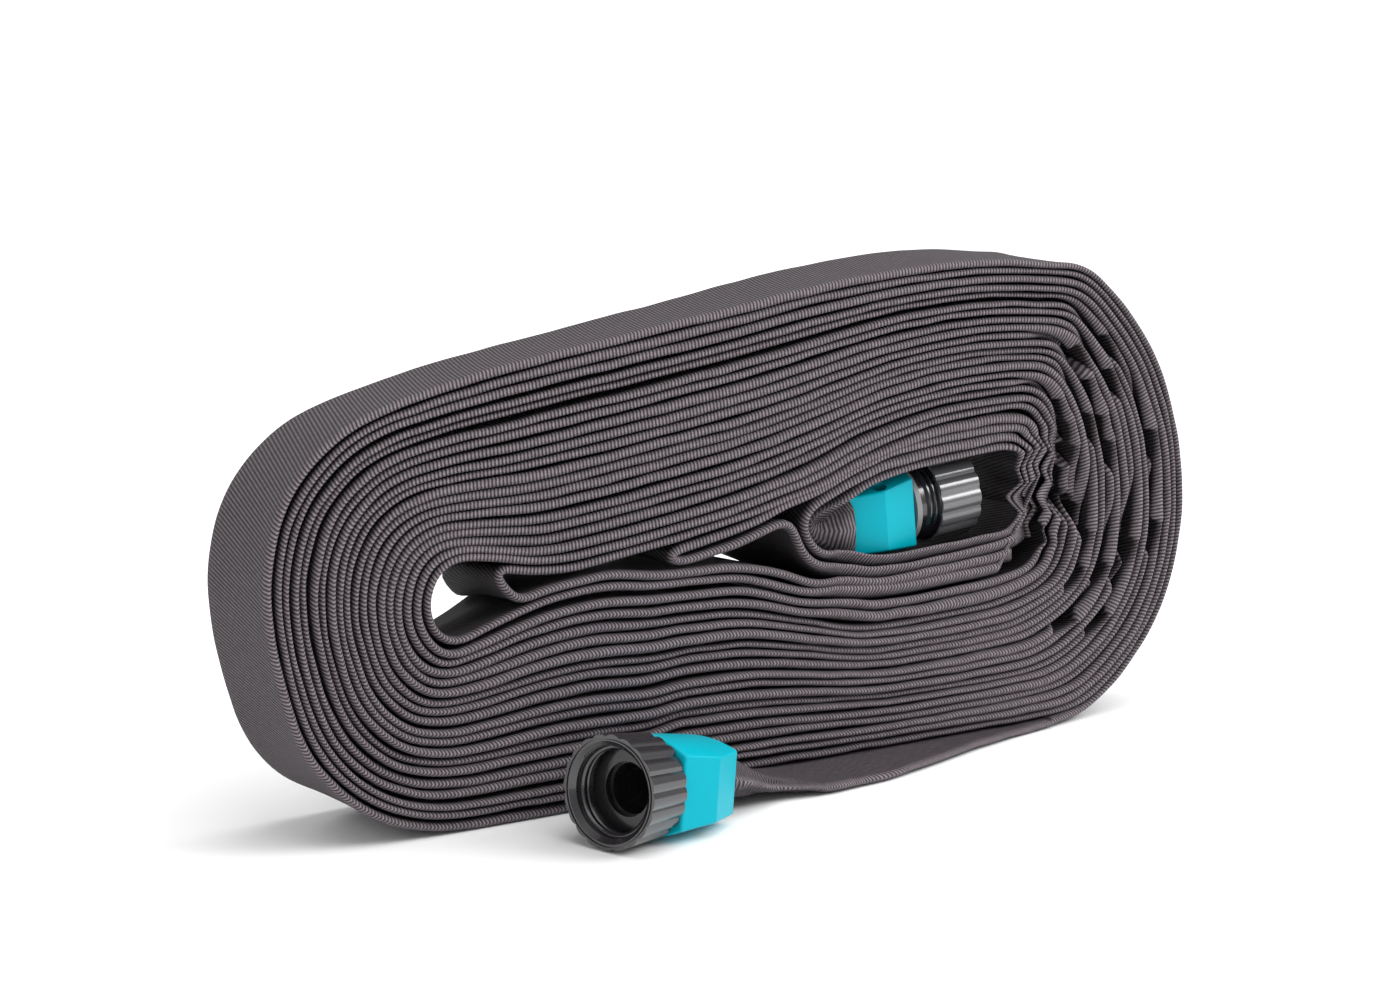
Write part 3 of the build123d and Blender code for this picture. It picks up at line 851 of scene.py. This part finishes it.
shader.inputs["Specular IOR Level"].default_value = 0.25
hose_mesh.materials.append(mat)


def plastic(name, colour, roughness, coat=0.0, grain=0.15, metallic=0.0, gloss=0.5):
    """A moulded or turned surface with a fine grain."""
    made, nodes, body = new_material(name)
    noise = node(nodes, "ShaderNodeTexNoise")
    noise.inputs["Scale"].default_value = 900
    noise.inputs["Detail"].default_value = 3
    coords = node(nodes, "ShaderNodeTexCoord")
    nodes.links.new(coords.outputs["Object"], noise.inputs["Vector"])
    grainy = node(nodes, "ShaderNodeBump")
    grainy.inputs["Strength"].default_value = grain
    grainy.inputs["Distance"].default_value = 0.0001
    nodes.links.new(noise.outputs["Fac"], grainy.inputs["Height"])
    nodes.links.new(grainy.outputs["Normal"], body.inputs["Normal"])
    body.inputs["Base Color"].default_value = (*colour, 1)
    body.inputs["Roughness"].default_value = roughness
    body.inputs["Coat Weight"].default_value = coat
    body.inputs["Specular IOR Level"].default_value = gloss
    body.inputs["Metallic"].default_value = metallic
    return made


FINISHES = {
    "shell_plastic": plastic("shell_plastic", (0.0, 0.40, 0.50), 0.30, gloss=0.12),
    "nut_plastic": plastic("nut_plastic", (0.016, 0.014, 0.017), 0.24, coat=0.5, grain=0.03, gloss=0.8),
    "cap_plastic": plastic("cap_plastic", (0.12, 0.12, 0.127), 0.2, coat=0.5, grain=0.05, gloss=0.8),
    "collar_plastic": plastic("collar_plastic", (0.24, 0.24, 0.25), 0.5),
    "washer_rubber": plastic("washer_rubber", (0.015, 0.015, 0.016), 0.2, gloss=0.6),
    "liner_rubber": plastic("liner_rubber", (0.02, 0.02, 0.02), 0.6),
    "screw_brass": plastic("screw_brass", (0.8, 0.58, 0.25), 0.25, metallic=1.0),
}
nut_thread.data.materials.append(FINISHES["nut_plastic"])
SLOT_OF = {part["node"]: part["material_slot"] for part in frame["record"]["subparts"]}
for name, cad_node in frame["nodes"].items():
    finish = FINISHES.get(SLOT_OF[name])
    if finish is not None:
        cad_node.data.materials.clear()
        cad_node.data.materials.append(finish)
